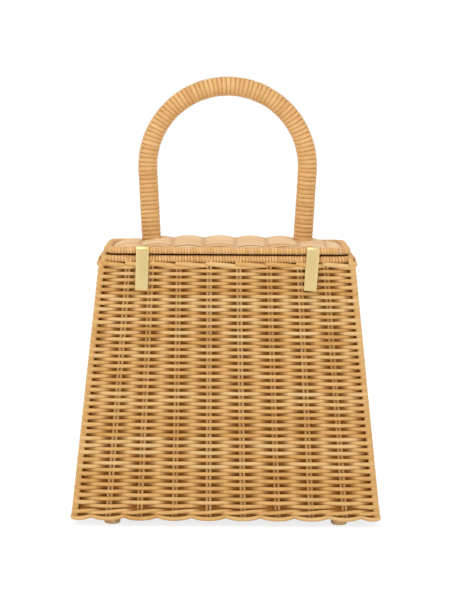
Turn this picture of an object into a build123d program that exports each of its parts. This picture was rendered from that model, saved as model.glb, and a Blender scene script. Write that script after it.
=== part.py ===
"""A small rigid wicker bag.

A tapered basket of plain weave stands on four pegs. Its woven lid turns on two cane loops at the back,
carries a horseshoe handle wound with flat cane and is held shut by two strap clasps at the front.
Millimetres, +Z up, the front looks towards -Y and the left side is at -X.
"""

import math
import os

from build123d import *

# Basket, measured over the crests of the weave
BASE_WIDTH = 220.0
BASE_DEPTH = 112.0
TOP_WIDTH = 184.0
TOP_DEPTH = 85.6
WALL_HEIGHT = 173.6
WALL_THICKNESS = 3.7
CORNER_CUT = 4.0

# Weave: how far a weaver rises over a stake, and over the post at a corner, the stakes along each wall and
# the rows of weavers, which lie closer together towards the rim
CREST_RISE = 3.0
CORNER_RISE = 1.0
FRONT_STAKES = 8
SIDE_STAKES = 4
WALL_ROWS = 72
ROW_SPREAD_SHARE = 0.06

# Floor of the basket, its border and its pegs
FLOOR_STAKES = 8
FLOOR_ROWS = 20
FLOOR_THICKNESS = 2.8
FLOOR_CORNER = 8.5
BORDER_WIDTH = 6.8
BORDER_HEIGHT = 8.7
BORDER_DROP = 1.4
BORDER_BEVEL = 2.0
SCALLOP_DEPTH = 1.8
FOOT_RADIUS = 5.75
FOOT_HEIGHT = 6.0
FOOT_BEVEL = 1.4
FOOT_FACETS = 12
FOOT_INSET_X = 29.0
FOOT_INSET_Y = 14.0
SPIGOT_RADIUS = 3.0
SPIGOT_LENGTH = 5.0

# Rims: a wound rod on the basket and one round the lid
RIM_RADIUS = 2.45
RIM_SPACE = 1.25
RIM_DEPTH = 80.0
BASKET_RIM_WIDTH = 174.4
LID_RIM_WIDTH = 170.4
RIM_CORNER = 10.0
RIM_FACETS = 8
CORNER_STEPS = 3

# Lid: its weave starts a little over the rim, curves up to a broad top and falls off at the two ends
LID_STAKE_SHARES = (-0.883, -0.611, -0.339, -0.067, 0.206, 0.478, 0.75, 0.956)
LID_ROWS = 30
LID_SEAT = 1.7
LID_EDGE = 0.3
LID_DOME = 5.7
LID_FRONT_POWER = 4.5
LID_END_POWER = 6.5
LID_DROP = 1.5

# Handle
HANDLE_TOP = 318.0
HANDLE_RADIUS = 6.9
GROOVE_DEPTH = 0.6
CORE_RADIUS = 5.4
BOW_RADIUS = 57.7
LEG_LEAN = 3.2
HANDLE_TURNS = 34
HANDLE_FACETS = 10
CORE_TURN_STEPS = 4
RAIL_WIDTH = 10.0
RAIL_DEPTH = 5.0
RAIL_BEVEL = 2.0
RAIL_LENGTH = 68.0
SCREW_RADIUS = 1.75
SCREW_HEAD_RADIUS = 3.5
SCREW_HEAD_HEIGHT = 2.0
SCREW_LENGTH = 21.0
SCREW_FACETS = 8

# Cane loops of the hinge
LOOP_SPACING = 96.0
LOOP_WIDTH = 9.0
LOOP_THICKNESS = 1.2
BAND_FACETS = 8

# Strap clasps and their magnets
CLASP_SPACING = 121.6
CLASP_WIDTH = 8.9
CLASP_THICKNESS = 0.8
CLASP_LENGTH = 29.4
CLASP_CORNER = 1.2
EYE_SLIT = 0.6
SLIT_TURN = 225.0
LEFT_CLASP_SKEW = 1.2
RIGHT_CLASP_SKEW = 4.2
MAGNET_WIDTH = 8.0
MAGNET_THICKNESS = 3.0
MAGNET_DROP = 20.0

# Clearances: round a turning rod, between seated pieces, and the overrun of a cut
RUN_FIT = 0.2
LOOSE_FIT = 0.3
GLUE_FIT = 0.1
OVERRUN = 2.0

# Heights
wall_bottom = FOOT_HEIGHT - BORDER_DROP + BORDER_HEIGHT
wall_top = wall_bottom + WALL_HEIGHT
rim_spacing = 2 * RIM_RADIUS + RIM_SPACE
basket_rim_z = wall_top + RIM_RADIUS
lid_rim_z = basket_rim_z + rim_spacing
lid_under = lid_rim_z - LID_DROP
lid_end = lid_rim_z + LID_SEAT - CREST_RISE
lid_top = lid_rim_z + LID_SEAT + LID_EDGE + LID_DOME
rim_y = RIM_DEPTH / 2
wall_lean = math.degrees(math.atan((BASE_DEPTH - TOP_DEPTH) / 2 / WALL_HEIGHT))

X, Y, Z = Vector(1, 0, 0), Vector(0, 1, 0), Vector(0, 0, 1)

# The four walls in turn, front first: the way along each, the way out of it and its stakes
SIDES = [
    (X, -Y, FRONT_STAKES),
    (Y, X, SIDE_STAKES),
    (-X, Y, FRONT_STAKES),
    (-Y, -X, SIDE_STAKES),
]


def wall_sizes(along, z, inset):
    """Half the length of a wall and its distance from the middle of the bag, at one height."""
    share = (z - wall_bottom) / WALL_HEIGHT
    wide = (BASE_WIDTH + (TOP_WIDTH - BASE_WIDTH) * share) / 2 - CREST_RISE - inset
    deep = (BASE_DEPTH + (TOP_DEPTH - BASE_DEPTH) * share) / 2 - CREST_RISE - inset
    return (wide, deep) if along.X else (deep, wide)


def wall_point(side, place_share, z, rise=0):
    """A point of a wall: the share runs from -1 to 1 along it, the rise is over the valleys."""
    along, out = SIDES[side][:2]
    half, reach = wall_sizes(along, z, 0)
    return along * (half * place_share) + out * (reach + rise) + Z * z


def corner_points(side, z, inset=0, rise=0):
    """The two ends of the bevelled corner at the start of a wall."""
    points = []
    before = (side - 1) % len(SIDES)
    diagonal = (SIDES[before][1] + SIDES[side][1]).normalized()
    for index, end in ((before, 1), (side, -1)):
        along, out = SIDES[index][:2]
        half, reach = wall_sizes(along, z, inset)
        points.append(along * (end * (half - CORNER_CUT)) + out * reach + diagonal * rise + Z * z)
    return points


def over(stake, row):
    """Plain weave: a weaver lies over every second stake, and the next one over the stakes between."""
    return (stake + row) % 2 == 1


def rise_share(stake, row, rows):
    """How far a weave stands out at a crossing: nothing, all of its rise or, along both edges, half of it."""
    return 0.5 if row in (0, rows + 1) else over(stake, row)


def facet(*corners):
    return Face(Wire.make_polygon(corners))


def weave_faces(columns):
    """The outer skin of a weave, from the number of each stake and its points from edge to edge.

    Four neighbouring crossings are two high and two low ones, and the skin is bent along the low pair.
    """
    faces = []
    for (stake, here), (_, then) in zip(columns, columns[1:]):
        for row in range(len(here) - 1):
            low, high = (here[row], then[row]), (here[row + 1], then[row + 1])
            if over(stake, row):
                faces.append(facet(low[0], low[1], high[0]))
                faces.append(facet(low[1], high[1], high[0]))
            else:
                faces.append(facet(low[0], low[1], high[1]))
                faces.append(facet(low[0], high[1], high[0]))
    return faces


def woven_panel(width, depth, stake_places, rows, low_level, rise, back_z):
    """A panel that is woven on one face and flat on the other. Its edges lie half-way up the weave."""
    row_places = [depth * ((row + 0.5) / rows - 0.5) for row in range(rows)]
    columns = []
    for stake, x in enumerate((-width / 2, *stake_places, width / 2)):
        points = []
        for row, y in enumerate((-depth / 2, *row_places, depth / 2)):
            share = 0.5 if abs(x) == width / 2 else rise_share(stake, row, rows)
            points.append(Vector(x, y, low_level(x, y) + rise * share))
        columns.append((stake, points))
    faces = weave_faces(columns)
    back = [Vector(x, -depth / 2, back_z) for x in (-width / 2, width / 2)]
    back += [Vector(point.X, -point.Y, back_z) for point in reversed(back)]
    faces.append(facet(*back))
    faces.append(facet(*[points[0] for _, points in columns], back[1], back[0]))
    faces.append(facet(*[points[-1] for _, points in columns], back[2], back[3]))
    faces.append(facet(*columns[0][1], back[3], back[0]))
    faces.append(facet(*columns[-1][1], back[2], back[1]))
    return Solid(Shell(faces))


def rounded_outline(width, depth, corner):
    """The corners of a rectangle whose four corners are bent round in a few straight steps."""
    points = []
    for quarter, (x, y) in enumerate(((1, -1), (1, 1), (-1, 1), (-1, -1))):
        middle = Vector(x * (width / 2 - corner), y * (depth / 2 - corner), 0)
        for step in range(CORNER_STEPS + 1):
            angle = (quarter - 1 + step / CORNER_STEPS) * math.pi / 2
            points.append(middle + Vector(math.cos(angle), math.sin(angle), 0) * corner)
    return points


def rounded_block(width, depth, corner, low, high):
    outline = [point + Z * low for point in rounded_outline(width, depth, corner)]
    return extrude(facet(*outline), high - low, dir=Z)


def skin(sections):
    """The faces that join a row of outlines, each with as many corners as the next."""
    faces = []
    for here, then in zip(sections, sections[1:]):
        for corner in range(len(here)):
            after = (corner + 1) % len(here)
            faces.append(facet(here[corner], here[after], then[after]))
            faces.append(facet(here[corner], then[after], then[corner]))
    return faces


def capped(sections):
    """A solid through a row of outlines, closed by a flat face at both ends."""
    return Solid(Shell([facet(*sections[0]), *skin(sections), facet(*sections[-1])]))


def ring_section(points, here, profile):
    """A profile of (distance out, height) pairs, set square to a closed route at one of its points."""
    point = points[here]
    back = (point - points[here - 1]).normalized()
    ahead = (points[(here + 1) % len(points)] - point).normalized()
    out = (back + ahead).cross(Z).normalized()
    mitre = 1 / back.cross(Z).dot(out)
    return [Vector(point.X, point.Y, 0) + out * (across * mitre) + Z * z for across, z in profile]


def rod_ring(width, depth, z):
    """A rod bent into a rectangle with round corners."""
    route = rounded_outline(width, depth, RIM_CORNER)
    turns = [2 * math.pi * (facet_number + 0.5) / RIM_FACETS for facet_number in range(RIM_FACETS)]
    profile = [(RIM_RADIUS * math.cos(turn), z + RIM_RADIUS * math.sin(turn)) for turn in turns]
    sections = [ring_section(route, here, profile) for here in range(len(route))]
    return Solid(Shell(skin(sections + sections[:1])))


parts = {}

# Walls: the woven skin outside, four plain faces and bevelled corners inside
row_heights = []
for row in range(WALL_ROWS):
    share = (row + 0.5) / WALL_ROWS
    share += ROW_SPREAD_SHARE * share * (1 - share)
    row_heights.append(wall_bottom + WALL_HEIGHT * share)
wall_levels = [wall_bottom, *row_heights, wall_top]
wall_columns = []
stake = 0
for side, (_, _, stakes) in enumerate(SIDES):
    stake += 1
    post = []
    for row, z in enumerate(wall_levels):
        rise = CREST_RISE + CORNER_RISE * rise_share(stake, row, WALL_ROWS)
        post.append(corner_points(side, z, rise=rise))
    wall_columns += [(stake, points) for points in zip(*post)]
    for number in range(1, stakes + 1):
        stake += 1
        place_share = 2 * number / (stakes + 1) - 1
        points = []
        for row, z in enumerate(wall_levels):
            rise = CREST_RISE * rise_share(stake, row, WALL_ROWS)
            points.append(wall_point(side, place_share, z, rise))
        wall_columns.append((stake, points))
wall_faces = weave_faces(wall_columns + wall_columns[:1])
inner_low = []
inner_high = []
for side in range(len(SIDES)):
    inner_low += corner_points(side, wall_bottom, WALL_THICKNESS)
    inner_high += corner_points(side, wall_top, WALL_THICKNESS)
for here in range(len(inner_low)):
    then = (here + 1) % len(inner_low)
    wall_faces.append(facet(inner_low[here], inner_low[then], inner_high[then], inner_high[here]))
for inner, edge in ((inner_low, 0), (inner_high, -1)):
    outline = Wire.make_polygon([points[edge] for _, points in wall_columns])
    wall_faces.append(Face(outline, [Wire.make_polygon(inner)]))
walls = Solid(Shell(wall_faces))

# Hinge loops: flat cane bands round both rear rods, sunk into the top of the back wall
loop_inner = RIM_RADIUS + LOOSE_FIT
loop_outer = loop_inner + LOOP_THICKNESS
loop_reach = loop_outer / math.cos(math.pi / BAND_FACETS)
loop_plane = Plane(origin=(0, rim_y, (basket_rim_z + lid_rim_z) / 2), x_dir=(0, 0, 1), z_dir=(1, 0, 0))
loop_end = RegularPolygon(loop_outer, BAND_FACETS, major_radius=False, rotation=180 / BAND_FACETS)
loop_ends = Locations((-rim_spacing / 2, 0), (rim_spacing / 2, 0))
loop_shape = Rectangle(rim_spacing, 2 * loop_outer) + loop_ends * loop_end
loop_shape -= SlotCenterToCenter(rim_spacing, 2 * loop_inner)
loop = extrude(loop_plane * loop_shape, LOOP_WIDTH / 2, both=True)
notch_depth = loop_outer - RIM_RADIUS + LOOSE_FIT
notch = Box(LOOP_WIDTH + 2 * LOOSE_FIT, 2 * (loop_outer + LOOSE_FIT), 2 * notch_depth)
for name, x in (("left", -LOOP_SPACING / 2), ("right", LOOP_SPACING / 2)):
    parts["hinge_loop_" + name] = Pos(x, 0, 0) * loop
    walls -= Pos(x, rim_y, wall_top) * notch

# Strap clasps: a strip rolled into an eye on the front rod of the lid, its leaf parallel to the wall
eye_inner = RIM_RADIUS + RUN_FIT
eye_outer = eye_inner + CLASP_THICKNESS
leaf_out = (-Y).rotate(Axis.X, -wall_lean)
front_rod = Vector(0, -rim_y, lid_rim_z)
eye_plane = Plane(origin=front_rod, x_dir=(0, 1, 0), z_dir=(1, 0, 0))
slit = Rot(0, 0, SLIT_TURN) * Pos(-eye_inner, 0) * Rectangle(2 * CLASP_THICKNESS, EYE_SLIT)
eye_shape = RegularPolygon(eye_outer, 2 * BAND_FACETS, major_radius=False) - Circle(eye_inner) - slit
eye = extrude(eye_plane * eye_shape, CLASP_WIDTH / 2, both=True)
leaf_plane = Plane(origin=front_rod + leaf_out * eye_inner, x_dir=(1, 0, 0), z_dir=leaf_out)
leaf_outline = Pos(0, -CLASP_LENGTH / 2) * Rectangle(CLASP_WIDTH, CLASP_LENGTH)
leaf_outline = fillet(leaf_outline.vertices().group_by(Axis.Y)[0], CLASP_CORNER)
magnet_face = leaf_plane.offset(-LOOSE_FIT - GLUE_FIT)
pocket_width = MAGNET_WIDTH + 2 * GLUE_FIT
left_clasp = ("left", -CLASP_SPACING / 2, LEFT_CLASP_SKEW)
right_clasp = ("right", CLASP_SPACING / 2, RIGHT_CLASP_SKEW)
for name, x, skew in (left_clasp, right_clasp):
    leaf = extrude(leaf_plane * Rot(0, 0, -skew) * leaf_outline, CLASP_THICKNESS)
    magnet_place = magnet_face * Rot(0, 0, -skew) * Pos(0, -MAGNET_DROP)
    magnet = extrude(magnet_place * Rectangle(MAGNET_WIDTH, MAGNET_WIDTH), -MAGNET_THICKNESS)
    pocket_shape = magnet_place * Rectangle(pocket_width, pocket_width)
    pocket = extrude(pocket_shape, -MAGNET_THICKNESS - GLUE_FIT) + extrude(pocket_shape, OVERRUN)
    parts["clasp_strap_" + name] = Pos(x, 0, 0) * (eye + leaf)
    parts["catch_magnet_" + name] = Pos(x, 0, 0) * magnet
    walls -= Pos(x, 0, 0) * pocket
parts["basket_walls"] = walls

# Border: a ring under the walls whose lower edge hangs in a scallop below every stake
border_route = []
border_lifts = []
for side, (_, _, stakes) in enumerate(SIDES):
    border_route += corner_points(side, wall_bottom)
    border_lifts += [0, 0]
    for half in range(1, 2 * stakes + 2):
        border_route.append(wall_point(side, half / (stakes + 1) - 1, wall_bottom))
        border_lifts.append(SCALLOP_DEPTH * (half % 2))
border_top = wall_bottom - GLUE_FIT
border_inside = WALL_THICKNESS - GLUE_FIT
border_outside = BORDER_WIDTH - border_inside
border_sections = []
for here, lift in enumerate(border_lifts):
    low = wall_bottom - BORDER_HEIGHT + lift
    profile = [(-border_inside, border_top), (border_outside - BORDER_BEVEL / 2, border_top)]
    profile += [(border_outside, border_top - BORDER_BEVEL), (border_outside, low + BORDER_BEVEL)]
    profile += [(border_outside - BORDER_BEVEL, low), (-border_inside, low)]
    border_sections.append(ring_section(border_route, here, profile))
parts["base_border"] = Solid(Shell(skin(border_sections + border_sections[:1])))

# Floor: woven underneath, set inside the border, with a hole for the spigot of each peg
floor_width = BASE_WIDTH - 2 * (CREST_RISE + border_inside + LOOSE_FIT)
floor_depth = BASE_DEPTH - 2 * (CREST_RISE + border_inside + LOOSE_FIT)
floor_valley = FOOT_HEIGHT + CREST_RISE
floor_top = floor_valley + FLOOR_THICKNESS
floor_stakes = [floor_width * ((n + 1) / (FLOOR_STAKES + 1) - 0.5) for n in range(FLOOR_STAKES)]


def floor_level(x, y):
    return floor_valley


floor = woven_panel(
    floor_width, floor_depth, floor_stakes, FLOOR_ROWS, floor_level, -CREST_RISE, floor_top
)
floor &= rounded_block(floor_width, floor_depth, FLOOR_CORNER, 0, floor_top)
peg = extrude(RegularPolygon(FOOT_RADIUS, FOOT_FACETS), FOOT_HEIGHT)
peg = chamfer(peg.faces().sort_by(Axis.Z)[0].edges(), FOOT_BEVEL)
spigot = extrude(RegularPolygon(SPIGOT_RADIUS, FOOT_FACETS), SPIGOT_LENGTH)
foot = peg + Pos(0, 0, FOOT_HEIGHT) * spigot
spigot_hole = extrude(RegularPolygon(SPIGOT_RADIUS + GLUE_FIT, FOOT_FACETS), floor_top + OVERRUN)
peg_x = BASE_WIDTH / 2 - FOOT_INSET_X
peg_y = BASE_DEPTH / 2 - FOOT_INSET_Y
for front, y in (("front", -peg_y), ("back", peg_y)):
    for name, x in (("left", -peg_x), ("right", peg_x)):
        parts["foot_" + front + "_" + name] = Pos(x, y, 0) * foot
        floor -= Pos(x, y, 0) * spigot_hole
parts["base_panel"] = floor

# Rims: wound rods that lie one above the other
parts["basket_rim"] = rod_ring(BASKET_RIM_WIDTH, RIM_DEPTH, basket_rim_z)
parts["lid_rim"] = rod_ring(LID_RIM_WIDTH, RIM_DEPTH, lid_rim_z)

# Handle: straight legs that lean together at the foot, and a round bow
bow_z = HANDLE_TOP - HANDLE_RADIUS - BOW_RADIUS
lean = math.radians(LEG_LEAN)
leg_length = (bow_z - BOW_RADIUS * math.sin(lean) - lid_under) / math.cos(lean)
bow_length = BOW_RADIUS * (math.pi + 2 * lean)
handle_length = 2 * leg_length + bow_length
foot_x = BOW_RADIUS * math.cos(lean) - leg_length * math.sin(lean)


def handle_section(run, radius):
    """The outline of the handle across its route, the run measured from the left foot."""
    side = -1 if run < handle_length / 2 else 1
    from_foot = min(run, handle_length - run)
    if from_foot < leg_length:
        across = Vector(side * math.cos(lean), 0, -math.sin(lean)) if from_foot > 0 else X * side
        rise = from_foot * math.cos(lean)
        middle = Vector(side * (foot_x + from_foot * math.sin(lean)), 0, lid_under + rise)
    else:
        angle = (from_foot - leg_length) / BOW_RADIUS - lean
        across = Vector(side * math.cos(angle), 0, math.sin(angle))
        middle = across * BOW_RADIUS + Z * bow_z
    turn = 2 * math.pi / HANDLE_FACETS
    corners = [turn * n for n in range(HANDLE_FACETS)]
    return [middle + across * (radius * math.cos(a)) + Y * (radius * math.sin(a)) for a in corners]


wrap_runs = [handle_length * step / (2 * HANDLE_TURNS) for step in range(2 * HANDLE_TURNS + 1)]
core_runs = wrap_runs[::CORE_TURN_STEPS]
core = capped([handle_section(run, CORE_RADIUS) for run in core_runs])
hollow = capped([handle_section(run, CORE_RADIUS + GLUE_FIT) for run in core_runs])
wrap_radii = [HANDLE_RADIUS - GROOVE_DEPTH * (1 - step % 2) for step in range(len(wrap_runs))]
wrap = capped([handle_section(run, radius) for run, radius in zip(wrap_runs, wrap_radii)])
parts["handle_wrap"] = wrap - hollow

# Lid: woven on top, set inside its rim, open round the handle, the loops and the eyes
lid_width = LID_RIM_WIDTH - 2 * (RIM_RADIUS + GLUE_FIT)
lid_depth = RIM_DEPTH - 2 * (RIM_RADIUS + GLUE_FIT)
lid_stakes = [lid_width / 2 * share for share in LID_STAKE_SHARES]


def lid_level(x, y):
    """The height of the low crossings of the lid."""
    swell = LID_EDGE + LID_DOME * (1 - (2 * abs(y) / lid_depth) ** LID_FRONT_POWER)
    return lid_end + swell * (1 - (2 * abs(x) / LID_RIM_WIDTH) ** LID_END_POWER)


lid = woven_panel(lid_width, lid_depth, lid_stakes, LID_ROWS, lid_level, CREST_RISE, lid_under)
lid &= rounded_block(lid_width, lid_depth, RIM_CORNER - RIM_RADIUS - GLUE_FIT, lid_under, lid_top)
lid_height = lid_top - lid_under
hole_x = foot_x + lid_height / 2 * math.tan(lean)
handle_hole = extrude(RegularPolygon(HANDLE_RADIUS + LOOSE_FIT, HANDLE_FACETS), lid_height + OVERRUN)
loop_slot = Box(LOOP_WIDTH + 2 * LOOSE_FIT, 2 * (loop_reach + LOOSE_FIT), 2 * lid_height)
eye_slot = Box(CLASP_WIDTH + 2 * LOOSE_FIT, 2 * (eye_outer + LOOSE_FIT), 2 * lid_height)
rail_half = RAIL_WIDTH / 2
rail_outline = Polyline(
    (-rail_half, 0),
    (rail_half, 0),
    (rail_half, RAIL_BEVEL - RAIL_DEPTH),
    (rail_half - RAIL_BEVEL, -RAIL_DEPTH),
    (RAIL_BEVEL - rail_half, -RAIL_DEPTH),
    (-rail_half, RAIL_BEVEL - RAIL_DEPTH),
    close=True,
)
rail = Pos(0, 0, lid_under) * extrude(Plane.XZ * make_face(rail_outline), RAIL_LENGTH / 2, both=True)
screw_foot = lid_under - RAIL_DEPTH


def screw_shape(fit):
    """A countersunk screw that stands head down in the underside of a rail."""
    head = (SCREW_HEAD_RADIUS, 0)
    neck = (SCREW_RADIUS, SCREW_HEAD_HEIGHT)
    tip = (SCREW_RADIUS, SCREW_LENGTH + fit)
    turns = [2 * math.pi * facet_number / SCREW_FACETS for facet_number in range(SCREW_FACETS)]
    sections = []
    for radius, height in (head, neck, tip):
        ways = [Vector(math.cos(turn), math.sin(turn), 0) for turn in turns]
        sections.append([way * (radius + fit) + Z * (screw_foot + height) for way in ways])
    return capped(sections)


screw = screw_shape(0)
screw_bore = screw_shape(GLUE_FIT)
for name, side in (("left", -1), ("right", 1)):
    lid -= Pos(side * hole_x, 0, lid_under - OVERRUN / 2) * handle_hole
    lid -= Pos(side * LOOP_SPACING / 2, rim_y, lid_under) * loop_slot
    lid -= Pos(side * CLASP_SPACING / 2, -rim_y, lid_under) * eye_slot
    core -= Pos(side * foot_x, 0, 0) * screw_bore
    parts["lid_rail_" + name] = Pos(side * foot_x, 0, 0) * (rail - screw_bore)
    parts["handle_screw_" + name] = Pos(side * foot_x, 0, 0) * screw
parts["lid_panel"] = lid
parts["handle_core"] = core

os.makedirs("parts", exist_ok=True)
for name, shape in parts.items():
    export_step(shape, "parts/" + name + ".step")
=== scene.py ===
import math
import random

import bmesh
import bpy
from mathutils import Matrix, Vector


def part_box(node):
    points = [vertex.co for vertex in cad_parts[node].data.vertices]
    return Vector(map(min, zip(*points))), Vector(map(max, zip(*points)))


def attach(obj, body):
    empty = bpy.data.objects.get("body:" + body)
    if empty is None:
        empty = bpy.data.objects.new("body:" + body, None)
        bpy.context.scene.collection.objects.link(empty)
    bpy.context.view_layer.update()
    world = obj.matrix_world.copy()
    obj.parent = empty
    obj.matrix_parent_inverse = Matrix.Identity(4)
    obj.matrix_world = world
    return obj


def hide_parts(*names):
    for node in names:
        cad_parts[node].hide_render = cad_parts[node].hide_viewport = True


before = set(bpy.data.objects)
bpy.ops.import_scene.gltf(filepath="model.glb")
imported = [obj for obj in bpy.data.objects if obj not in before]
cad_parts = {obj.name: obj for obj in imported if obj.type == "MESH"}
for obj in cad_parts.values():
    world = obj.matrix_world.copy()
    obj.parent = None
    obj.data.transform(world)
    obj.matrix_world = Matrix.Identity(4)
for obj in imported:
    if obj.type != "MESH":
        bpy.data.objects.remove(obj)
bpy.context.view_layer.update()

# Weavers: the walls are seventy-two rows of round cane, each laid in front of one pair of stakes and behind
# the next, so that neighbouring rows cross between the stakes. Every row is one cane drawn right round the
# bag. Lengths here and below are in millimetres, until a piece is put together in metres.
MM_IN_A_METRE = 1000
UP = Vector((0, 0, 1))
TOP_HALF = Vector((92.0, 42.8))
STAKE_INSET = 3.4
WALL_BEND = 5.0
SIDE_PITCHES = (9, 5, 9, 5)
STAKES = sum(SIDE_PITCHES)
CORNERS = [sum(SIDE_PITCHES[:side]) for side in range(len(SIDE_PITCHES) + 1)]
# How far each stake of the front stands aside, at its foot and at its top, and the most that others do.
FRONT_DRIFT_LOW = (0, -0.1, -1.7, -0.7, -0.4, 0.4, 1.1, 1.4, 1.4)
FRONT_DRIFT_HIGH = (0, -0.9, -4.3, -4.6, -2.8, -1.7, 0, 1.9, 0.7)
REST_DRIFT_LOW = 1.2
REST_DRIFT_HIGH = 1.6
chance = random.Random(11)


def node_box(node):
    """The lowest and the highest corner of a node of the frame."""
    return [MM_IN_A_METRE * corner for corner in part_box(node)]


walls_low, walls_high = node_box("basket_walls")
wall_height = walls_high.z - walls_low.z
base_half = walls_high.xy
drifts = []
for front, most in ((FRONT_DRIFT_LOW, REST_DRIFT_LOW), (FRONT_DRIFT_HIGH, REST_DRIFT_HIGH)):
    rest = [chance.uniform(-most, most) for stake in range(len(front), STAKES)]
    drifts.append([*front, *rest, 0])
drift_low, drift_high = drifts


def between(values, place):
    """The value at a place between the numbered ones."""
    number = min(int(place), len(values) - 2)
    return values[number] + (values[number + 1] - values[number]) * (place - number)


def wall_place(place, height):
    """The stake line at a place, counted in stakes from the front left corner, and the way out there."""
    share = (height - walls_low.z) / wall_height
    half = base_half.lerp(TOP_HALF, share) - Vector((STAKE_INSET, STAKE_INSET))
    place %= STAKES
    drift = between(drift_low, place) * (1 - share) + between(drift_high, place) * share
    turn = 0
    while place >= SIDE_PITCHES[turn]:
        place -= SIDE_PITCHES[turn]
        turn += 1
    length, reach = (half.x, half.y) if turn % 2 == 0 else (half.y, half.x)
    along = 2 * length * place / SIDE_PITCHES[turn] - length
    straight = length - WALL_BEND
    if abs(along) < straight:
        along = max(-straight, min(straight, along + drift))
    angle = math.copysign(max(0, abs(along) - straight) / WALL_BEND * math.pi / 4, along)
    out = Vector((math.sin(angle), -math.cos(angle), 0))
    point = Vector((max(-straight, min(straight, along)), WALL_BEND - reach, 0)) + out * WALL_BEND
    spin = Matrix.Rotation(turn * math.pi / 2, 3, "Z")
    return spin @ point + UP * height, spin @ out


def corner_share(place):
    """How near a place is to a corner of the bag: one at the corner, nothing from the next stake on."""
    return max(0, 1 - min(abs(place % STAKES - corner) for corner in CORNERS))


INNER_SHADE = 0.2
WELD_DISTANCE = 0.001


def cane(points, outs, radii, tints, shades, sides=8, closed=False, flat=1.0, lean=0.0, flank_shade=0.0):
    """A cane through points: a grid is rolled into a tube along them and its edges are welded together.
    What is the same all along it may be given once. The corners of its mesh carry the run along the cane,
    the way they face and a tint, and a painted shade for the recesses of the weave: as given on the outer
    side, less on the inner side, and more of it painted on the flanks and back."""
    count = len(points)
    outs, radii, tints, shades = (
        given if isinstance(given, list) else [given] * count for given in (outs, radii, tints, shades)
    )
    stations = []
    runs = [0]
    for number, point in enumerate(points):
        before = points[number - 1] if closed or number else point
        after = points[(number + 1) % count] if closed or number + 1 < count else point
        ahead = (after - before).normalized()
        side = (outs[number] - ahead * outs[number].dot(ahead)).normalized()
        rise = ahead.cross(side) * math.cos(lean) + ahead * math.sin(lean)
        place = Matrix((side * radii[number] * flat, rise * radii[number], ahead)).transposed().to_4x4()
        place.translation = point
        stations.append(place)
        runs.append(runs[-1] + (points[(number + 1) % count] - point).length)
    spans = count if closed else count - 1
    made = bmesh.new()
    note = made.verts.layers.float_vector.new("cane")
    shade = made.verts.layers.float.new("shade")
    for corner in bmesh.ops.create_grid(made, x_segments=spans, y_segments=sides, size=0.5)["verts"]:
        number = round((corner.co.x + 0.5) * spans)
        turn = 2 * math.pi * (corner.co.y + 0.5)
        facing = math.cos(turn)
        here = number % count
        corner[note] = (runs[number], facing, tints[here])
        # Painted shade: full on the outer side, a fifth of it on the inner side, more on the flanks and back.
        outward = INNER_SHADE + (1 - INNER_SHADE) * (1 + facing) / 2
        corner[shade] = shades[here] * outward + flank_shade * (1 - facing)
        corner.co = stations[here] @ Vector((facing, math.sin(turn), 0))
    bmesh.ops.remove_doubles(made, verts=made.verts, dist=WELD_DISTANCE)
    if not closed:
        bmesh.ops.holes_fill(made, edges=made.edges, sides=0)
    bmesh.ops.recalc_face_normals(made, faces=made.faces)
    return made


def piece(name, parts, material, body, slot, *nodes):
    """One object from parts in millimetres, that rides on a body and stands for its CAD nodes."""
    mesh = bpy.data.meshes.new(name)
    whole = bmesh.new()
    for part in parts:
        part.to_mesh(mesh)
        whole.from_mesh(mesh)
        part.free()
    bmesh.ops.scale(whole, vec=[1 / MM_IN_A_METRE] * 3, verts=whole.verts)
    whole.to_mesh(mesh)
    whole.free()
    mesh.shade_smooth()
    mesh.materials.append(material)
    shown = bpy.data.objects.new(name, mesh)
    bpy.context.scene.collection.objects.link(shown)
    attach(shown, body)
    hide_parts(*nodes)
    return shown


def new_material(name):
    """A material with nodes, and its node tree."""
    material = bpy.data.materials.new(name)
    material.use_nodes = True
    return material, material.node_tree


def stretched_noise(tree, where, stretch, detail):
    """A noise over the places that a socket gives, finer the more they are stretched."""
    spread = tree.nodes.new("ShaderNodeVectorMath")
    spread.operation = "MULTIPLY"
    spread.inputs[1].default_value = stretch
    tree.links.new(where, spread.inputs[0])
    noise = tree.nodes.new("ShaderNodeTexNoise")
    noise.inputs["Scale"].default_value = 1
    noise.inputs["Detail"].default_value = detail
    tree.links.new(spread.outputs["Vector"], noise.inputs["Vector"])
    return noise


def grain_surface(tree, grain, gloss, drift, strength, height):
    """Lets a grain drive the roughness, up from the gloss by a drift, and the bump, its height in metres."""
    shader = tree.nodes["Principled BSDF"]
    rough = tree.nodes.new("ShaderNodeMapRange")
    rough.inputs["To Min"].default_value = gloss
    rough.inputs["To Max"].default_value = gloss + drift
    tree.links.new(grain, rough.inputs["Value"])
    tree.links.new(rough.outputs["Result"], shader.inputs["Roughness"])
    bump = tree.nodes.new("ShaderNodeBump")
    bump.inputs["Strength"].default_value = strength
    bump.inputs["Distance"].default_value = height
    tree.links.new(grain, bump.inputs["Height"])
    tree.links.new(bump.outputs["Normal"], shader.inputs["Normal"])


FIBRE_STRETCH = (0.2, 2.6, 61)
BLOTCH_STRETCH = (0.03, 0.2, 43)
TONE_START = -0.3
TONE_BY_TINT = 0.7
TONE_BY_BLOTCH = 0.9


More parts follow.
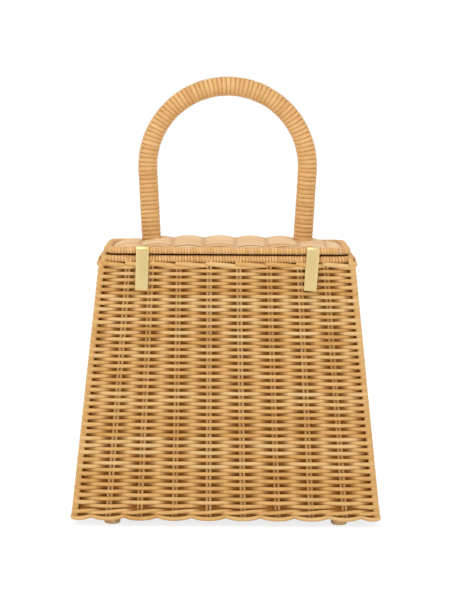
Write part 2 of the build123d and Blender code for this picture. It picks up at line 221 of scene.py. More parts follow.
def cane_material(name, tones, painted_shade_colour, gloss):
    """Peeled cane: a tone of its own for each length, fibres along it, and a painted shade, a browner colour,
    as far as the shade attribute says.
    """
    material, tree = new_material(name)
    shader = tree.nodes["Principled BSDF"]
    shader.inputs["Specular IOR Level"].default_value = 0.14
    notes = tree.nodes.new("ShaderNodeAttribute")
    notes.attribute_name = "cane"
    # This node reads the painted shade that the canes carry.
    depth = tree.nodes.new("ShaderNodeAttribute")
    depth.attribute_name = "shade"
    fibre = stretched_noise(tree, notes.outputs["Vector"], FIBRE_STRETCH, detail=4).outputs["Fac"]
    blotch = stretched_noise(tree, notes.outputs["Vector"], BLOTCH_STRETCH, detail=2).outputs["Fac"]
    split = tree.nodes.new("ShaderNodeSeparateXYZ")
    tree.links.new(notes.outputs["Vector"], split.inputs["Vector"])
    shift = tree.nodes.new("ShaderNodeMath")
    shift.operation = "MULTIPLY_ADD"
    shift.inputs[1].default_value = TONE_BY_TINT
    shift.inputs[2].default_value = TONE_START
    tree.links.new(split.outputs["Z"], shift.inputs[0])
    tone = tree.nodes.new("ShaderNodeMath")
    tone.operation = "MULTIPLY_ADD"
    tone.inputs[1].default_value = TONE_BY_BLOTCH
    tree.links.new(blotch, tone.inputs[0])
    tree.links.new(shift.outputs["Value"], tone.inputs[2])
    ramp = tree.nodes.new("ShaderNodeValToRGB")
    while len(ramp.color_ramp.elements) < len(tones):
        ramp.color_ramp.elements.new(0.5)
    for number, colour in enumerate(tones):
        ramp.color_ramp.elements[number].position = number / (len(tones) - 1)
        ramp.color_ramp.elements[number].color = (*colour, 1)
    tree.links.new(tone.outputs["Value"], ramp.inputs["Fac"])
    streak = tree.nodes.new("ShaderNodeMapRange")
    streak.inputs["To Min"].default_value = 0.78
    streak.inputs["To Max"].default_value = 1.16
    tree.links.new(fibre, streak.inputs["Value"])
    grained = tree.nodes.new("ShaderNodeVectorMath")
    grained.operation = "SCALE"
    tree.links.new(ramp.outputs["Color"], grained.inputs[0])
    tree.links.new(streak.outputs["Result"], grained.inputs["Scale"])
    # Painted shade: the colour is mixed towards the shade colour as far as the shade attribute says.
    recess = tree.nodes.new("ShaderNodeMix")
    recess.data_type = "RGBA"
    recess.inputs["B"].default_value = (*painted_shade_colour, 1)
    tree.links.new(depth.outputs["Fac"], recess.inputs["Factor"])
    tree.links.new(grained.outputs["Vector"], recess.inputs["A"])
    tree.links.new(recess.outputs["Result"], shader.inputs["Base Color"])
    grain_surface(tree, fibre, gloss, drift=0.25, strength=0.35, height=0.0003)
    return material


STRAW_TONES = (
    (0.505, 0.258, 0.072), (0.58, 0.325, 0.106), (0.637, 0.378, 0.14),
    (0.667, 0.425, 0.177), (0.69, 0.472, 0.226),
)
# The brown of the painted shade in the recesses of the weave.
PAINTED_SHADE_BROWN = (0.25, 0.076, 0.0)
straw = cane_material("straw_cane", STRAW_TONES, PAINTED_SHADE_BROWN, gloss=0.38)
RECESS_START = 0.1
RECESS_SPAN = 0.7


def recess_shade(swing):
    """The shade on a cane: none where it swings out in front, full where it passes well behind."""
    return min(1, max(0, -swing - RECESS_START) / RECESS_SPAN)


WALL_ROWS = 72
ROW_STEPS = 8
ROW_TAPER = 0.06
ROW_WANDER = 0.09
ROW_SIZES = (0.97, 1.05)
WEAVER_RADIUS = 1.3
WEAVER_SWING = 1.85
WEAVER_SWELL = 1.07
SWELL_BEHIND = 0.12
SWELL_AT_CORNERS = 0.15
CORNER_TUCK = 0.2
TOP_ROW_TUCK = 1.2
# The lowest rows are painted paler: painted light that stands in for light from the floor below.
PAINTED_LIGHT_FOOT_SHARE = 0.3
PAINTED_LIGHT_FOOT_TINT = 0.5
# Painted shade on the flanks of the weavers and of the border canes.
WEAVE_FLANK_SHADE = 0.1
odd_rows = []
even_rows = []
for row in range(WALL_ROWS):
    share = (row + 0.5) / WALL_ROWS
    height = walls_low.z + wall_height * (share + ROW_TAPER * share * (1 - share))
    tuck = TOP_ROW_TUCK if row == WALL_ROWS - 1 else 0
    lifts = [chance.gauss(0, ROW_WANDER) for stake in range(STAKES)]
    lifts.append(lifts[0])
    radius = WEAVER_RADIUS * (1 + ROW_TAPER * (1 - 2 * share))
    sizes = [radius * chance.uniform(*ROW_SIZES) for stake in range(STAKES)]
    sizes.append(sizes[0])
    points, outs, radii, shades = [], [], [], []
    for step in range(STAKES * ROW_STEPS):
        place = step / ROW_STEPS
        swing = -math.cos(math.pi * (place + row))
        bent = corner_share(place) ** 2
        point, out = wall_place(place, height + between(lifts, place))
        reach = WEAVER_SWING * swing + CORNER_TUCK * bent * min(0, swing) - tuck
        points.append(point + out * reach)
        outs.append(out)
        swell = WEAVER_SWELL + SWELL_BEHIND * max(0, -swing) + SWELL_AT_CORNERS * bent * max(0, swing)
        radii.append(between(sizes, place) * swell)
        # Painted shade where the row passes behind a stake.
        shades.append(recess_shade(swing))
    # Paler tints on the lowest rows, as painted light.
    tint = chance.random() + PAINTED_LIGHT_FOOT_TINT * max(0, PAINTED_LIGHT_FOOT_SHARE - share)
    made = cane(points, outs, radii, tint, shades, closed=True, flank_shade=WEAVE_FLANK_SHADE)
    (odd_rows if row % 2 else even_rows).append(made)
piece("weavers_odd", odd_rows, straw, "basket", "rattan_weave", "basket_walls")
piece("weavers_even", even_rows, straw, "basket", "rattan_weave", "basket_walls")

# Stakes: pairs of thinner canes that stand in the walls at every crossing, and two thick ones at each corner,
# from the border at the foot up to the rim. The pairs end on the outside of the rim rod, and the corner posts
# bend in to it.
STAKE_FOOT = 5.6
STAKE_TURN = 182.0
STAKE_STEPS = 14
STAKE_WANDER = 0.08
STAKE_RADIUS = 1.0
STAKE_SPREAD = 1.2
# Painted shade on the stakes and posts where they stand in the weave; none on their tops.
STAKE_SHADE = 0.15
# Each step of a top has its reach out of the wall, its height and its radius.
STAKE_TOP = ((1.4, 184, 0.8), (2.6, 186.4, 0.75), (2.9, 188.4, 0.7), (2.3, 189.9, 0.6), (1.0, 190.6, 0.5))
POST_RADIUS = 1.7
POST_REACH = 1.3
POST_STEP = 0.14
POST_SHADE = 0.1
POST_TOP = ((1.2, 184, 1.7), (0.9, 186, 1.7), (0.2, 187.7, 1.6), (-0.9, 189.2, 1.5), (-2.2, 190.2, 1.3))
post_places = {}
for number, corner in enumerate(CORNERS[:-1]):
    post_places[corner] = (corner, corner + POST_STEP) if number % 2 else (corner - POST_STEP, corner)
stakes = []
for stake in range(STAKES):
    if stake in post_places:
        pair = [(place, 0) for place in post_places[stake]]
        reach, radius, shade, top = POST_REACH, POST_RADIUS, POST_SHADE, POST_TOP
    else:
        pair = [(stake, -STAKE_SPREAD), (stake, STAKE_SPREAD)]
        reach, radius, shade, top = 0, STAKE_RADIUS, STAKE_SHADE, STAKE_TOP
    route = []
    for step in range(STAKE_STEPS + 1):
        route.append((reach, STAKE_FOOT + (STAKE_TURN - STAKE_FOOT) * step / STAKE_STEPS, radius))
    shades = [shade] * len(route) + [0] * len(top)
    route += top
    radii = [radius for _, _, radius in route]
    for place, aside in pair:
        points, outs = [], []
        for reach, height, _ in route:
            point, out = wall_place(place, height)
            points.append(point + out * reach + UP.cross(out) * (aside + chance.gauss(0, STAKE_WANDER)))
            outs.append(out)
        stakes.append(cane(points, outs, radii, chance.random(), shades))
piece("stakes", stakes, straw, "basket", "rattan_weave", "basket_walls")

# Upper border: from each pair or post one strand of the same cane bends to the right under the rim, thins out
# and tucks in behind the next pair.
STRAND_STEPS = 12
STRAND_START = -0.12
STRAND_SPAN = 1.1
STRAND_HEIGHT = 186.3
STRAND_FALL = 1.7
STRAND_REACH = 2.2
STRAND_BULGE = 0.3
STRAND_RADIUS = 1.75
STRAND_START_SIZE = 0.7
STRAND_SWELLING = 2
STRAND_THINNING = 0.3
TUCK_FROM = 0.75
TUCK_SLOPE = 6.0
CORNER_PULL = 1.4
strands = []
for stake in range(STAKES):
    points, outs, radii = [], [], []
    for step in range(STRAND_STEPS + 1):
        share = step / STRAND_STEPS
        place = stake + STRAND_START + STRAND_SPAN * share
        point, out = wall_place(place, STRAND_HEIGHT - STRAND_FALL * share)
        bulge = STRAND_BULGE * math.sin(math.pi * share)
        reach = STRAND_REACH + bulge - TUCK_SLOPE * max(0, share - TUCK_FROM)
        points.append(point + out * (reach - CORNER_PULL * corner_share(place) ** 4))
        outs.append(out)
        size = min(1, STRAND_START_SIZE + STRAND_SWELLING * share) * (1 - STRAND_THINNING * share ** 4)
        radii.append(STRAND_RADIUS * size)
    strands.append(cane(points, outs, radii, chance.random(), 0))
piece("upper_border", strands, straw, "basket", "rattan_weave", "basket_walls")

# Foot border: two canes twisted round every pair of stakes, and below them a strand at each pair that comes
# out from behind, hangs in a scallop under the pair and turns in again. Two thicker canes close it on the
# inside.
TWIST_HEIGHT = 10.4
TWIST_RISE = 0.8
TWIST_REACH = 0.5
TWIST_SWING = 1.6
TWIST_RADIUS = 1.4
SCALLOP_STEPS = 8
SCALLOP_SPAN = 0.62
SCALLOP_HEIGHT = 5.7
SCALLOP_RISE = 2.6
SCALLOP_REACH = 2.0
SCALLOP_TUCK = 3.2
SCALLOP_RADIUS = 1.5
SCALLOP_THINNING = 0.3
# Painted shade on the scallops, deepening towards the ends where they turn in behind.
SCALLOP_SHADE = 0.8
CORE_HEIGHTS = (7.6, 12.2)
CORE_INSET = 2.8
CORE_RADIUS = 2.4
CORE_TINT = 0.3
# The core canes on the inside are painted almost fully into shade.
CORE_SHADE = 0.9
border = []
for first in (0, 1):
    points, outs, shades = [], [], []
    for step in range(STAKES * ROW_STEPS):
        place = step / ROW_STEPS
        turn = math.pi * (place + first)
        swing = -math.cos(turn)
        point, out = wall_place(place, TWIST_HEIGHT - TWIST_RISE * math.sin(turn))
        points.append(point + out * (TWIST_REACH + TWIST_SWING * swing))
        outs.append(out)
        # Painted shade where a twist passes behind.
        shades.append(recess_shade(swing))
    border.append(cane(points, outs, TWIST_RADIUS, chance.random(), shades, closed=True, flank_shade=WEAVE_FLANK_SHADE))
for stake in range(STAKES):
    points, outs, radii, shades = [], [], [], []
    for step in range(-SCALLOP_STEPS, SCALLOP_STEPS + 1):
        share = step / SCALLOP_STEPS
        point, out = wall_place(stake + SCALLOP_SPAN * share, SCALLOP_HEIGHT + SCALLOP_RISE * share * share)
        points.append(point + out * (SCALLOP_REACH - SCALLOP_TUCK * share ** 4))
        outs.append(out)
        radii.append(SCALLOP_RADIUS * (1 - SCALLOP_THINNING * share ** 4))
        shades.append(SCALLOP_SHADE * share ** 6)
    border.append(cane(points, outs, radii, chance.random(), shades, flank_shade=WEAVE_FLANK_SHADE))
for height in CORE_HEIGHTS:
    points, outs = [], []
    for step in range(STAKES * ROW_STEPS):
        point, out = wall_place(step / ROW_STEPS, height)
        points.append(point - out * CORE_INSET)
        outs.append(out)
    border.append(cane(points, outs, CORE_RADIUS, CORE_TINT, CORE_SHADE, closed=True))
piece("foot_border", border, straw, "basket", "rattan_border", "base_border")

# Floor: a flat weave of the same cane inside the border. Its weavers run from side to side, and its stakes in
# pairs from front to back, about in line with those of the front.
FLOOR_HALF = Vector((104.0, 50.0))
FLOOR_MIDDLE = 8.9
FLOOR_ROWS = 40
FLOOR_PITCH = 2.5
FLOOR_STEPS = 6
FLOOR_SWING = 1.2
FLOOR_RADIUS = 1.6
FLOOR_STAKE_SPREAD = 1.3
FLOOR_STAKE_RADIUS = 0.86
# The floor weave is painted a little into shade all over, as it lies inside the bag.
FLOOR_SHADE = 0.3
spans = SIDE_PITCHES[0]
floor = []
for row in range(FLOOR_ROWS):
    y = FLOOR_PITCH * (row - (FLOOR_ROWS - 1) / 2)
    points = []
    for step in range(spans * FLOOR_STEPS + 1):
        place = step / FLOOR_STEPS
        swing = math.cos(math.pi * (place + row))
        points.append(Vector((FLOOR_HALF.x * (2 * place / spans - 1), y, FLOOR_MIDDLE + FLOOR_SWING * swing)))
    floor.append(cane(points, UP, FLOOR_RADIUS, chance.random(), FLOOR_SHADE, sides=6))
for stake in range(1, spans):
    for aside in (-FLOOR_STAKE_SPREAD, FLOOR_STAKE_SPREAD):
        x = FLOOR_HALF.x * (2 * stake / spans - 1) + aside
        points = [Vector((x, y, FLOOR_MIDDLE)) for y in (-FLOOR_HALF.y, 0, FLOOR_HALF.y)]
        floor.append(cane(points, UP, FLOOR_STAKE_RADIUS, chance.random(), FLOOR_SHADE))
piece("floor_weave", floor, straw, "basket", "rattan_weave", "base_panel")

# Feet: four short turned pegs of pale wood, set in under the corners of the floor, their lower edges rounded.
# Each is let into the weave from below.
FOOT_HEIGHT = 6.0
FOOT_ROUNDING = 1.6
PEG_TINT = 0.6
# Pale wood, painted paler still: painted light for pegs that stand in the shadow under the bag.
PEG_TONES = ((0.78, 0.50, 0.24), (0.84, 0.58, 0.31), (0.88, 0.64, 0.38))
peg_wood = cane_material("peg_wood", PEG_TONES, PAINTED_SHADE_BROWN, gloss=0.45)


def round_edges(made, edges, rounding, segments):
    """Rounds some edges of a mesh in the making."""
    bmesh.ops.bevel(
        made, geom=edges, offset=rounding, segments=segments, profile=0.5, affect="EDGES", material=-1,
    )


for name in ("front_left", "front_right", "back_left", "back_right"):
    low, high = node_box("foot_" + name)
    x, y, _ = (low + high) / 2
    radius = (high.x - low.x) / 2
    peg = bmesh.new()
    note = peg.verts.layers.float_vector.new("cane")
    bmesh.ops.create_cone(
        peg, cap_ends=True, segments=32, radius1=radius, radius2=radius, depth=FOOT_HEIGHT,
        matrix=Matrix.Translation((x, y, FOOT_HEIGHT / 2)),
    )
    brink = [edge for edge in peg.edges if all(corner.co.z < FOOT_HEIGHT / 2 for corner in edge.verts)]
    round_edges(peg, brink, FOOT_ROUNDING, segments=4)
    for corner in peg.verts:
        corner[note] = (corner.co.z, (corner.co.x - x) / radius, PEG_TINT)
    piece("foot_" + name + "_peg", [peg], peg_wood, "basket", "peg_wood", "foot_" + name)

# Rims: a rod round the mouth of the basket and one round the lid, each wound with fine split cane. The lid's
# rod is a little shorter and lies just above the basket's, with a slit between them.
RIM_RADIUS = 2.58
RIM_BEND = 10.0
RIM_LEAN = 0.13
RIM_TINTS = (0.2, 0.9)
RIM_WOBBLE = 0.03
# The rings of a turn: their share of it, their rise over the radius and their part of the groove's shade.
RIM_RINGS = ((0, -0.36, 1), (0.14, -0.06, 1 / 3), (0.5, 0.08, 1 / 12), (0.86, -0.06, 1 / 3))
BINDING_WIDTH = 2.05
# Painted shade in the grooves between turns, deeper on the basket's rod, which lies under the lid's.
BASKET_GROOVE = 0.9
LID_GROOVE = 0.6
BINDING_TONES = (
    (0.56, 0.29, 0.10), (0.64, 0.36, 0.135), (0.70, 0.41, 0.165), (0.75, 0.46, 0.20), (0.79, 0.51, 0.24),
)
# The brown of that painted shade.
BINDING_PAINTED_SHADE = (0.26, 0.095, 0.008)


def rod_line(node):
    """Half the length and depth of the middle line of a rim rod of the frame, and its height."""
    low, high = node_box(node)
    thick = (high.z - low.z) / 2
    return high.xy - Vector((thick, thick)), low.z + thick


def rim_place(run, half):
    """A point of a rectangle with round corners, at a run from the start of its front, and the way out."""
    turn = 0
    while True:
        length, reach = (half.x, half.y) if turn % 2 == 0 else (half.y, half.x)
        straight = 2 * (length - RIM_BEND)
        if run <= straight + RIM_BEND * math.pi / 2:
            break
        run -= straight + RIM_BEND * math.pi / 2
        turn += 1
    angle = max(0, run - straight) / RIM_BEND
    out = Vector((math.sin(angle), -math.cos(angle), 0))
    point = Vector((min(run, straight) - straight / 2, RIM_BEND - reach, 0)) + out * RIM_BEND
    spin = Matrix.Rotation(turn * math.pi / 2, 3, "Z")
    return spin @ point, spin @ out


def wound_rim(half, height, groove):
    """A rod with its winding: four rings to a turn, the first in the groove, where a painted shade is as dark
    as given.
    """
    length = 4 * (half.x + half.y - 2 * RIM_BEND) + 2 * math.pi * RIM_BEND
    turns = round(length / BINDING_WIDTH)
    points, outs, radii, tints, shades = [], [], [], [], []
    for turn in range(turns):
        tint = chance.uniform(*RIM_TINTS)
        swell = chance.gauss(0, RIM_WOBBLE)
        for share, rise, dark in RIM_RINGS:
            point, out = rim_place(length * (turn + share) / turns, half)
            points.append(point + UP * height)
            outs.append(out)
            radii.append(RIM_RADIUS + rise + swell)
            tints.append(tint)
            shades.append(groove * dark)
    return cane(points, outs, radii, tints, shades, sides=10, closed=True, lean=RIM_LEAN)


binding = cane_material("binding_cane", BINDING_TONES, BINDING_PAINTED_SHADE, gloss=0.4)
basket_rod_half, basket_rod_height = rod_line("basket_rim")
basket_rod = wound_rim(basket_rod_half, basket_rod_height, BASKET_GROOVE)
piece("basket_rim_winding", [basket_rod], binding, "basket", "cane_binding", "basket_rim")
lid_rod_half, lid_rod_height = rod_line("lid_rim")
lid_rod = wound_rim(lid_rod_half, lid_rod_height, LID_GROOVE)
piece("lid_rim_winding", [lid_rod], binding, "lid", "cane_binding", "lid_rim")

# Lid: a low dome woven of paler cane inside its rim. The weavers run from side to side, the stakes in pairs
# from front to back and round the rod at both ends, under its winding.
LID_STAKE_PLACES = (-95, -73, -50.5, -28, -5.5, 17, 39.5, 62, 79, 96)
LID_STAKE_SPREAD = 1.3
LID_STAKE_END_SPREAD = 1.0
LID_STAKE_RADIUS = 0.75
# Painted shade on the lid stakes.
LID_STAKE_SHADE = 0.3
LID_STAKE_BEND = 1.95
LID_BEND_STEPS = 6
LID_STAKE_DEPTHS = (-34, -20, 0, 20, 34)
# The stakes of the lid face away from a line this high.
LID_STAKE_FACING = 150.0
LID_ROWS = 30
LID_PITCH = 2.497
LID_SIZES = (0.95, 1.05)
LID_TINTS = (0.3, 1.1)
LID_WANDER = 0.04
LID_REACH = 83.0
LID_STEPS = 40
LID_SWING = 1.7
LID_EDGE_SWING = 0.85
LID_THICKNESS = 1.05
# Painted shade where the rows dip low, darker on the first and last rows by the rim, and more on their
# flanks.
LID_SHADE = 0.35
LID_EDGE_SHADE = 0.8
LID_FLANK_SHADE = 0.45
LID_HALF_DEPTH = 37.45
LID_EDGE_HEIGHT = 193.4
LID_EDGE_SWELL = 0.3
LID_SWELL = 5.3
LID_SQUARENESS = 4.5
LID_TILT = 200.0
PALE_TONES = (
    (0.63, 0.38, 0.175), (0.71, 0.46, 0.235), (0.76, 0.52, 0.29), (0.80, 0.57, 0.34), (0.82, 0.61, 0.39),
)


def lid_level(x, y):
    """The height of the weave, swelling most behind the middle of the lid and falling to its ends."""
    dome = (1 - abs(y / LID_HALF_DEPTH) ** LID_SQUARENESS) * (1 + y / LID_TILT)
    swell = LID_EDGE_SWELL + LID_SWELL * dome
    return LID_EDGE_HEIGHT + swell * (1 - abs(x / lid_rod_half.x) ** LID_SQUARENESS)


pale = cane_material("pale_cane", PALE_TONES, PAINTED_SHADE_BROWN, gloss=0.38)
lid = []
for row in range(LID_ROWS):
    y = LID_PITCH * (row - (LID_ROWS - 1) / 2)
    edge = row in (0, LID_ROWS - 1)
    radius = WEAVER_RADIUS * chance.uniform(*LID_SIZES)
    points, radii, shades = [], [], []
    for step in range(-LID_STEPS, LID_STEPS + 1):
        x = LID_REACH * step / LID_STEPS
        span = max(number for number, place in enumerate(LID_STAKE_PLACES) if place <= x)
        left, right = LID_STAKE_PLACES[span:span + 2]
        swing = math.cos(math.pi * (span + (x - left) / (right - left) + row))
        lift = (LID_EDGE_SWING if edge else LID_SWING) * swing * (1 - abs(x / lid_rod_half.x) ** 8)
        points.append(Vector((x, y + chance.gauss(0, LID_WANDER), lid_level(x, y) + lift)))
        radii.append(radius * (LID_THICKNESS + SWELL_BEHIND * max(0, -swing)))
        shades.append(LID_EDGE_SHADE if edge else min(1, max(0, LID_SHADE - swing)))
    lid.append(cane(points, UP, radii, chance.uniform(*LID_TINTS), shades, flank_shade=LID_FLANK_SHADE))
for place in LID_STAKE_PLACES[1:-1]:
    for way in (-1, 1):
        front = []
        for step in range(LID_BEND_STEPS + 1):
            angle = math.pi * (1 - step / LID_BEND_STEPS)
            y = -lid_rod_half.y - LID_STAKE_BEND * math.sin(angle)
            z = lid_rod_height + LID_STAKE_BEND * math.cos(angle)
            front.append(Vector((place + way * LID_STAKE_END_SPREAD, y, z)))
        middle = [Vector((place + way * LID_STAKE_SPREAD, y, lid_level(place, y))) for y in LID_STAKE_DEPTHS]
        back = [Vector((point.x, -point.y, point.z)) for point in reversed(front)]
        points = front + middle + back
        outs = [Vector((0, point.y, point.z - LID_STAKE_FACING)).normalized() for point in points]
        lid.append(cane(points, outs, LID_STAKE_RADIUS, chance.random(), LID_STAKE_SHADE))
piece("lid_weave", lid, pale, "lid", "rattan_weave", "lid_panel")

# Handle: a bent pole of planed wood, wound from foot to foot with flat cane, the turns laid edge to edge.
# Near each foot a tie of the same cane crosses the turns. The pole itself is the solid of the frame.
HANDLE_TOP = 318.0
HANDLE_FOOT = 194.0
HANDLE_RADIUS = 6.9
BOW_RADIUS = 57.7
LEG_LEAN = math.radians(3.2)
WRAP_TURNS = 97
WRAP_LEAN = 0.06
WRAP_TINTS = (0.4, 0.6)
WRAP_WOBBLE = 0.06
# The rings of a turn: their share of it, their rise over the radius and their shade.
WRAP_RINGS = ((0, -0.5, 0.95), (0.1, -0.08, 0.12), (0.5, 0.08, 0), (0.9, -0.08, 0.12))
WRAP_TONES = (
    (0.50, 0.245, 0.075), (0.60, 0.32, 0.11), (0.66, 0.37, 0.14), (0.72, 0.43, 0.18), (0.76, 0.48, 0.22),
)
# The brown of the painted shade in the grooves of the wrap.
WRAP_PAINTED_SHADE = (0.16, 0.055, 0.008)
TIE_RUN = 6.0
TIE_STEPS = 24
TIE_LIFT = 0.1
TIE_SLANT = 1.4
TIE_HALF_WIDTH = 1.3
TIE_FLATNESS = 0.3
TIE_TINT = 0.35
# A little painted shade on the ties.
TIE_SHADE = 0.1
WOOD_STRETCH = (900, 40, 900)
WOOD_TONES = ((0.3, (0.42, 0.24, 0.10)), (0.7, (0.66, 0.44, 0.22)))
BACK = Vector((0, 1, 0))
bow_height = HANDLE_TOP - HANDLE_RADIUS - BOW_RADIUS
leg = (bow_height - BOW_RADIUS * math.sin(LEG_LEAN) - HANDLE_FOOT) / math.cos(LEG_LEAN)
handle_length = 2 * leg + BOW_RADIUS * (math.pi + 2 * LEG_LEAN)


def handle_place(run):
    """A point on the middle line of the handle, at a run from its left foot, and the way out of the bow."""
    side = -1 if run < handle_length / 2 else 1
    from_foot = min(run, handle_length - run)
    angle = max(0, from_foot - leg) / BOW_RADIUS - LEG_LEAN
    out = Vector((side * math.cos(angle), 0, math.sin(angle)))
    below = max(0, leg - from_foot)
    down = Vector((-side * math.sin(LEG_LEAN), 0, -math.cos(LEG_LEAN)))
    return out * BOW_RADIUS + UP * bow_height + down * below, out


points, outs, radii, tints, shades = [], [], [], [], []
for turn in range(WRAP_TURNS):
    tint = chance.uniform(*WRAP_TINTS)
    swell = chance.gauss(0, WRAP_WOBBLE)
    for share, rise, dark in WRAP_RINGS:
        point, out = handle_place(handle_length * (turn + share) / WRAP_TURNS)
        points.append(point)
        outs.append(out)
        radii.append(HANDLE_RADIUS + rise + swell)
        tints.append(tint)
        shades.append(dark)
winding = [cane(points, outs, radii, tints, shades, sides=20, lean=WRAP_LEAN)]
for run in (TIE_RUN, handle_length - TIE_RUN):
    middle, out = handle_place(run)
    ahead = out.cross(BACK)
    points, outs = [], []
    for step in range(TIE_STEPS):
        angle = 2 * math.pi * step / TIE_STEPS
        spoke = out * math.cos(angle) + BACK * math.sin(angle)
        points.append(middle + spoke * (HANDLE_RADIUS + TIE_LIFT) + ahead * (TIE_SLANT * math.cos(angle)))
        outs.append(spoke)
    winding.append(cane(points, outs, TIE_HALF_WIDTH, TIE_TINT, TIE_SHADE, closed=True, flat=TIE_FLATNESS))
wrap = cane_material("wrap_cane", WRAP_TONES, WRAP_PAINTED_SHADE, gloss=0.34)
piece("handle_winding", winding, wrap, "lid", "cane_wrap", "handle_wrap")
wood, tree = new_material("planed_wood")
where = tree.nodes.new("ShaderNodeTexCoord")
grain = stretched_noise(tree, where.outputs["Object"], WOOD_STRETCH, detail=6)
grain.inputs["Distortion"].default_value = 0.6
ramp = tree.nodes.new("ShaderNodeValToRGB")
for element, (position, colour) in zip(ramp.color_ramp.elements, WOOD_TONES):
    element.position = position
    element.color = (*colour, 1)
tree.links.new(grain.outputs["Fac"], ramp.inputs["Fac"])
tree.links.new(ramp.outputs["Color"], tree.nodes["Principled BSDF"].inputs["Base Color"])
grain_surface(tree, grain.outputs["Fac"], gloss=0.45, drift=0.25, strength=0.3, height=0.0003)
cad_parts["handle_core"].material_slots[0].material = wood

# Clasps: two strips of gold-coloured metal, each bent over the front rod of the lid so that its leaf hangs
# down flat before the weave.
CLASP_HALF_WIDTH = 4.45
CLASP_THICKNESS = 0.8
CLASP_LENGTH = 28.4
CLASP_ROUNDING = 0.16
# Where each clasp sits along the rod, and by how many degrees its leaf hangs askew.
CLASP_PLACES = {"left": (-59.8, 1.2), "right": (60.8, 4.2)}
SHARP_ANGLE = 1.0
EYE_INNER_RADIUS = 2.65
EYE_STEPS = 15
EYE_STEP_ANGLE = math.radians(15)
EYE_GAP = 0.2
SKEW_END = 7
SKEW_FADE = 4
GOLD_TONES = ((0.68, 0.51, 0.225), (0.74, 0.575, 0.28))
BRUSHED_STRETCH = (2600, 2600, 180)
ACROSS = Vector((1, 0, 0))
leaf_lean = math.atan((base_half.y - TOP_HALF.y) / wall_height)
leaf_out = Vector((0, -math.cos(leaf_lean), math.sin(leaf_lean)))
leaf_down = Vector((0, -math.sin(leaf_lean), -math.cos(leaf_lean)))
eye_radius = EYE_INNER_RADIUS + CLASP_THICKNESS / 2


def metal_material(name, tones, stretch, gloss):
    """Rolled or plated metal: two close colours and the gloss drift along fine scratches."""
    material, tree = new_material(name)
    shader = tree.nodes["Principled BSDF"]
    shader.inputs["Metallic"].default_value = 1
    where = tree.nodes.new("ShaderNodeTexCoord")
    scratch = stretched_noise(tree, where.outputs["Object"], stretch, detail=5).outputs["Fac"]
    blend = tree.nodes.new("ShaderNodeMix")
    blend.data_type = "RGBA"
    blend.inputs["A"].default_value = (*tones[0], 1)
    blend.inputs["B"].default_value = (*tones[1], 1)
    tree.links.new(scratch, blend.inputs["Factor"])
    tree.links.new(blend.outputs["Result"], shader.inputs["Base Color"])
    grain_surface(tree, scratch, gloss, drift=0.14, strength=0.12, height=0.0001)
    return material


gold = metal_material("pale_gold", GOLD_TONES, BRUSHED_STRETCH, gloss=0.26)
for name, (x, skew) in CLASP_PLACES.items():
    rod = Vector((x, -lid_rod_half.y, lid_rod_height))
    stations = []
    for drop in (CLASP_LENGTH, CLASP_LENGTH / 2, EYE_GAP):
        stations.append((leaf_out * eye_radius + leaf_down * drop, leaf_out, skew))
    for step in range(EYE_STEPS):
        angle = leaf_lean + EYE_STEP_ANGLE * step
        out = Vector((0, -math.cos(angle), math.sin(angle)))
        stations.append((out * eye_radius, out, skew * min(1, max(0, (SKEW_END - step) / SKEW_FADE))))
    places = []
    for point, out, turned in stations:
        skewed = Matrix.Rotation(math.radians(-turned), 3, leaf_out)
        sides = (ACROSS * CLASP_HALF_WIDTH, out * CLASP_THICKNESS / 2, ACROSS.cross(out))
        place = (skewed @ Matrix(sides).transposed()).to_4x4()
        place.translation = rod + skewed @ point
        places.append(place)
    strap = bmesh.new()
    ring = bmesh.ops.create_grid(strap, x_segments=1, y_segments=1, size=1)["verts"]
    bmesh.ops.transform(strap, matrix=places[0], verts=ring)
    edges = strap.edges[:]
    for number in range(1, len(places)):
        drawn = bmesh.ops.extrude_edge_only(strap, edges=edges)["geom"]
        ring = [item for item in drawn if isinstance(item, bmesh.types.BMVert)]
        edges = [item for item in drawn if isinstance(item, bmesh.types.BMEdge) and item.is_boundary]
        bmesh.ops.transform(strap, matrix=places[number] @ places[number - 1].inverted(), verts=ring)
    bmesh.ops.holes_fill(strap, edges=edges, sides=0)
    bmesh.ops.recalc_face_normals(strap, faces=strap.faces)
    rims = [edge for edge in strap.edges if edge.is_manifold and edge.calc_face_angle() > SHARP_ANGLE]
    round_edges(strap, rims, CLASP_ROUNDING, segments=2)
    piece("clasp_" + name, [strap], gold, name + "_clasp", "gold_metal", "clasp_strap_" + name)

# Magnets: a nickel-plated block behind each leaf, let into the weave so that its face lies level with the
# crests. The leaf hangs just clear of it.
MAGNET_SIZE = (8.0, 8.0, 3.0)
MAGNET_DROP = 20.0
MAGNET_ROUNDING = 0.35
LEAF_CLEARANCE = 0.4
NICKEL_TONES = ((0.55, 0.55, 0.54), (0.66, 0.65, 0.63))
NICKEL_STRETCH = (900, 900, 900)


def block(sizes, rounding, place):
    """A block with rounded edges, set by a matrix."""
    made = bmesh.new()
    bmesh.ops.create_cube(made, size=1, matrix=Matrix.Diagonal((*sizes, 1)))
    round_edges(made, made.edges, rounding, segments=3)
    bmesh.ops.transform(made, matrix=place, verts=made.verts)
    return made


